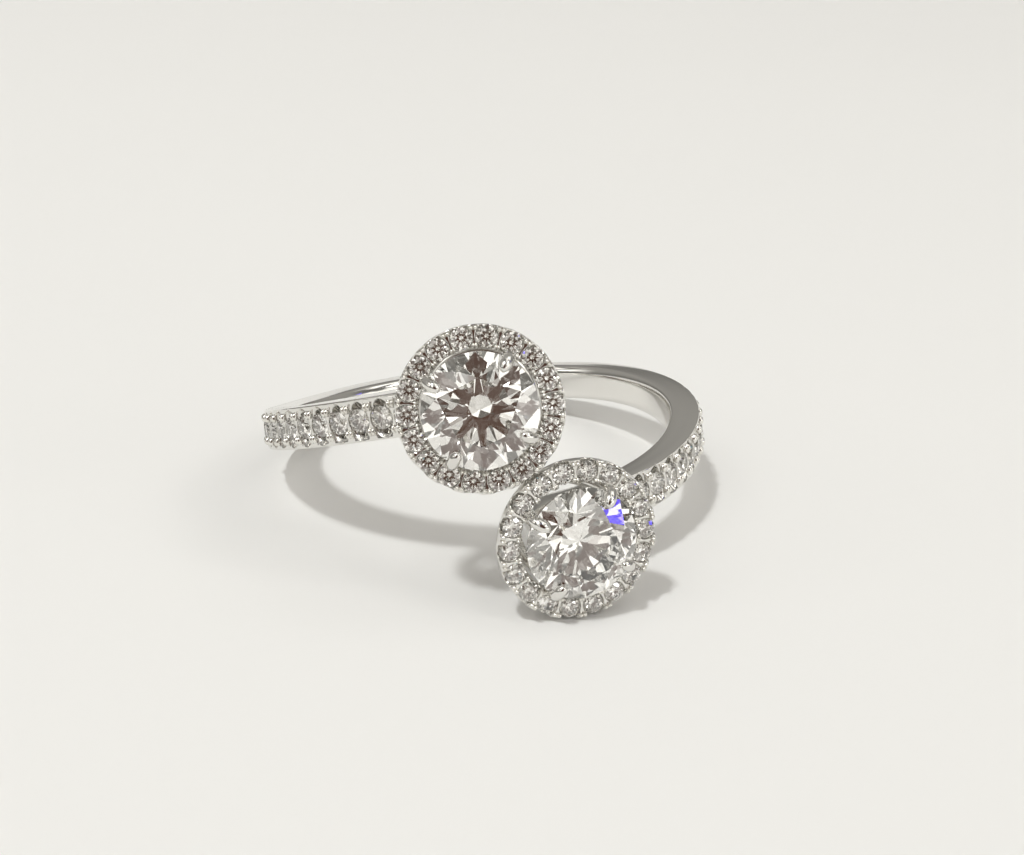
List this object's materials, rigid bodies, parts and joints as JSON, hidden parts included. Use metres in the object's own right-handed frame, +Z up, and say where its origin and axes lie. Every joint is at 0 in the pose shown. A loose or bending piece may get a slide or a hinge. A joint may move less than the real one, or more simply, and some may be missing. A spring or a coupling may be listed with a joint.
{
  "type": "toi et moi ring",
  "caption": "Bypass finger ring whose two shoulders end in round haloed stones set side by side, with small stones along both shoulders and a plain polished back.",
  "frame": {"origin": "The middle of the finger hole, on the finger's axis, halfway along the wall of the hole.", "axes": "+Z up from the table that the ring rests on, -Y toward the two heads and +X to the right seen from the heads. The ring lies as it rests by itself, so the finger's axis leans 13.8 degrees from +Z, with the heads raised."},
  "size_m": [0.0196, 0.0229, 0.0113],
  "materials": {
    "white_gold": "polished white gold",
    "main_diamond": "faceted round brilliant, clear",
    "small_diamond": "small faceted brilliants, clear"
  },
  "bodies": {
    "root": {"ring_metal": "white_gold", "main_stone_upper": "main_diamond", "main_stone_lower": "main_diamond", "halo_stones_upper": "small_diamond", "halo_stones_lower": "small_diamond", "shoulder_stones_left": "small_diamond", "shoulder_stones_right": "small_diamond"}
  },
  "joints": []
}
